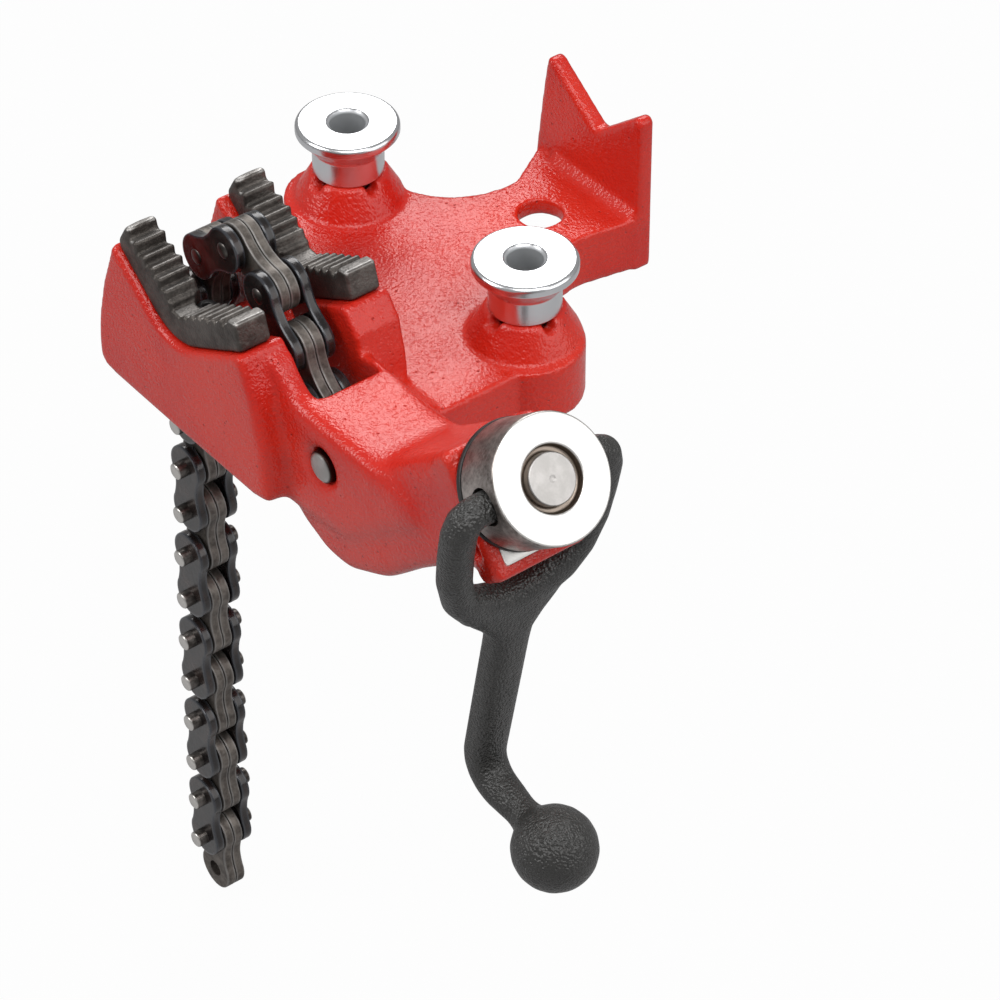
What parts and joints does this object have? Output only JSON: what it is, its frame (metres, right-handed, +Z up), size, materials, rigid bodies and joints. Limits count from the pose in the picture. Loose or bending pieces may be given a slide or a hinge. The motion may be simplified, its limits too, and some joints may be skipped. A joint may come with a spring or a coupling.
{
  "type": "chain pipe vise",
  "caption": "Bench chain vise for pipe: cast base with toothed V jaws, spools, rear V rest, and a leaf chain drawn tight by a folding crank nut.",
  "frame": {"origin": "midway between the two spools' axes, on the underside of the bench flange", "axes": "+X across the vise towards the crank, +Y along the pipe towards the V rest, +Z up"},
  "size_m": [0.2423, 0.1821, 0.3249],
  "materials": {
    "red_enamel": "glossy enamel over a sand casting",
    "jaw_steel": "dark oiled, with burnished tooth crests",
    "plated_steel": "bright plating",
    "nut_plating": "satin plating",
    "dark_steel": "black oxide",
    "screw_steel": "turned, lightly oiled",
    "crank_coating": "black powder coating",
    "black_plate": "blackened, oiled",
    "link_steel": "grey-brown, oiled"
  },
  "bodies": {
    "base": {"base_casting": "red_enamel", "front_jaw": "jaw_steel", "rear_jaw": "jaw_steel", "front_jaw_screw": "dark_steel", "rear_jaw_screw": "dark_steel", "left_spool": "plated_steel", "right_spool": "plated_steel", "guide_pin": "screw_steel", "thrust_washer": "dark_steel"},
    "nut": {"screw_nut": "nut_plating"},
    "crank": {"crank_handle": "crank_coating"},
    "screw": {"chain_screw": "screw_steel"},
    "link_01": {"outer_link_01": "black_plate"},
    "link_02": {"inner_link_01": "link_steel"},
    "link_03": {"outer_link_02": "black_plate"},
    "link_04": {"inner_link_02": "link_steel"},
    "link_05": {"outer_link_03": "black_plate"},
    "link_06": {"inner_link_03": "link_steel"},
    "link_07": {"outer_link_04": "black_plate"},
    "link_08": {"inner_link_04": "link_steel"},
    "link_09": {"outer_link_05": "black_plate"},
    "link_10": {"inner_link_05": "link_steel"},
    "link_11": {"outer_link_06": "black_plate"},
    "link_12": {"inner_link_06": "link_steel"},
    "link_13": {"outer_link_07": "black_plate"},
    "link_14": {"inner_link_07": "link_steel"},
    "link_15": {"outer_link_08": "black_plate"},
    "link_16": {"inner_link_08": "link_steel"},
    "link_17": {"outer_link_09": "black_plate"},
    "link_18": {"inner_link_09": "link_steel"},
    "link_19": {"outer_link_10": "black_plate"},
    "link_20": {"inner_link_10": "link_steel"},
    "link_21": {"outer_link_11": "black_plate"},
    "link_22": {"inner_link_11": "link_steel"}
  },
  "joints": [
    {"name": "nut_spin", "type": "hinge", "parent": "base", "child": "nut", "pos_m": [0.1546, -0.0746, 0.0685], "axis": [0.788, 0, 0.6157], "range_deg": [-2.4, 8]},
    {"name": "crank_swing", "type": "hinge", "parent": "nut", "child": "crank", "pos_m": [0.14751, -0.0746, 0.06296], "axis": [0, -1, 0], "range_deg": [-5, 200]},
    {"name": "screw_travel", "type": "slide", "parent": "base", "child": "screw", "axis": [0.788, 0, 0.6157], "range_m": [-0.00006, 0.00002]},
    {"name": "chain_pin_01", "type": "hinge", "parent": "screw", "child": "link_01", "pos_m": [0.08513, -0.0746, 0.01422], "axis": [0, -1, 0], "range_deg": [-8, 5]},
    {"name": "chain_pin_02", "type": "hinge", "parent": "link_01", "child": "link_02", "pos_m": [0.06866, -0.0746, 0.00466], "axis": [0, 1, 0], "range_deg": [-6, 9]},
    {"name": "chain_pin_03", "type": "hinge", "parent": "link_02", "child": "link_03", "pos_m": [0.05035, -0.0746, 0.00991], "axis": [0, -1, 0], "range_deg": [-12, 8]},
    {"name": "chain_pin_04", "type": "hinge", "parent": "link_03", "child": "link_04", "pos_m": [0.0376, -0.0746, 0.02406], "axis": [0, 1, 0], "range_deg": [-8, 14]},
    {"name": "chain_pin_05", "type": "hinge", "parent": "link_04", "child": "link_05", "pos_m": [0.02722, -0.0746, 0.04004], "axis": [0, -1, 0], "range_deg": [-25, 4]},
    {"name": "chain_pin_06", "type": "hinge", "parent": "link_05", "child": "link_06", "pos_m": [0.01511, -0.0746, 0.05474], "axis": [0, 1, 0], "range_deg": [-2, 30]},
    {"name": "chain_pin_07", "type": "hinge", "parent": "link_06", "child": "link_07", "pos_m": [-0.0022, -0.0746, 0.0627], "axis": [0, -1, 0], "range_deg": [-30, 2]},
    {"name": "chain_pin_08", "type": "hinge", "parent": "link_07", "child": "link_08", "pos_m": [-0.01741, -0.0746, 0.05124], "axis": [0, 1, 0], "range_deg": [-3, 30]},
    {"name": "chain_pin_09", "type": "hinge", "parent": "link_08", "child": "link_09", "pos_m": [-0.02298, -0.0746, 0.03302], "axis": [0, -1, 0], "range_deg": [-30, 7]},
    {"name": "chain_pin_10", "type": "hinge", "parent": "link_09", "child": "link_10", "pos_m": [-0.02759, -0.0746, 0.01453], "axis": [0, 1, 0], "range_deg": [-15, 30]},
    {"name": "chain_pin_11", "type": "hinge", "parent": "link_10", "child": "link_11", "pos_m": [-0.02875, -0.0746, -0.00448], "axis": [0, -1, 0], "range_deg": [-35, 35]},
    {"name": "chain_pin_12", "type": "hinge", "parent": "link_11", "child": "link_12", "pos_m": [-0.02875, -0.0746, -0.02353], "axis": [0, 1, 0], "range_deg": [-35, 35]},
    {"name": "chain_pin_13", "type": "hinge", "parent": "link_12", "child": "link_13", "pos_m": [-0.02875, -0.0746, -0.04258], "axis": [0, -1, 0], "range_deg": [-35, 35]},
    {"name": "chain_pin_14", "type": "hinge", "parent": "link_13", "child": "link_14", "pos_m": [-0.02875, -0.0746, -0.06163], "axis": [0, 1, 0], "range_deg": [-35, 35]},
    {"name": "chain_pin_15", "type": "hinge", "parent": "link_14", "child": "link_15", "pos_m": [-0.02875, -0.0746, -0.08068], "axis": [0, -1, 0], "range_deg": [-35, 35]},
    {"name": "chain_pin_16", "type": "hinge", "parent": "link_15", "child": "link_16", "pos_m": [-0.02875, -0.0746, -0.09973], "axis": [0, 1, 0], "range_deg": [-35, 35]},
    {"name": "chain_pin_17", "type": "hinge", "parent": "link_16", "child": "link_17", "pos_m": [-0.02875, -0.0746, -0.11878], "axis": [0, -1, 0], "range_deg": [-35, 35]},
    {"name": "chain_pin_18", "type": "hinge", "parent": "link_17", "child": "link_18", "pos_m": [-0.02875, -0.0746, -0.13783], "axis": [0, 1, 0], "range_deg": [-35, 35]},
    {"name": "chain_pin_19", "type": "hinge", "parent": "link_18", "child": "link_19", "pos_m": [-0.02875, -0.0746, -0.15688], "axis": [0, -1, 0], "range_deg": [-35, 35]},
    {"name": "chain_pin_20", "type": "hinge", "parent": "link_19", "child": "link_20", "pos_m": [-0.02875, -0.0746, -0.17593], "axis": [0, 1, 0], "range_deg": [-35, 35]},
    {"name": "chain_pin_21", "type": "hinge", "parent": "link_20", "child": "link_21", "pos_m": [-0.02875, -0.0746, -0.19498], "axis": [0, -1, 0], "range_deg": [-35, 35]},
    {"name": "chain_pin_22", "type": "hinge", "parent": "link_21", "child": "link_22", "pos_m": [-0.02875, -0.0746, -0.21403], "axis": [0, 1, 0], "range_deg": [-35, 35]}
  ],
  "couplings": [
    {"joint": "screw_travel", "follows": "nut_spin", "m_per_rad": -0.0003675}
  ]
}
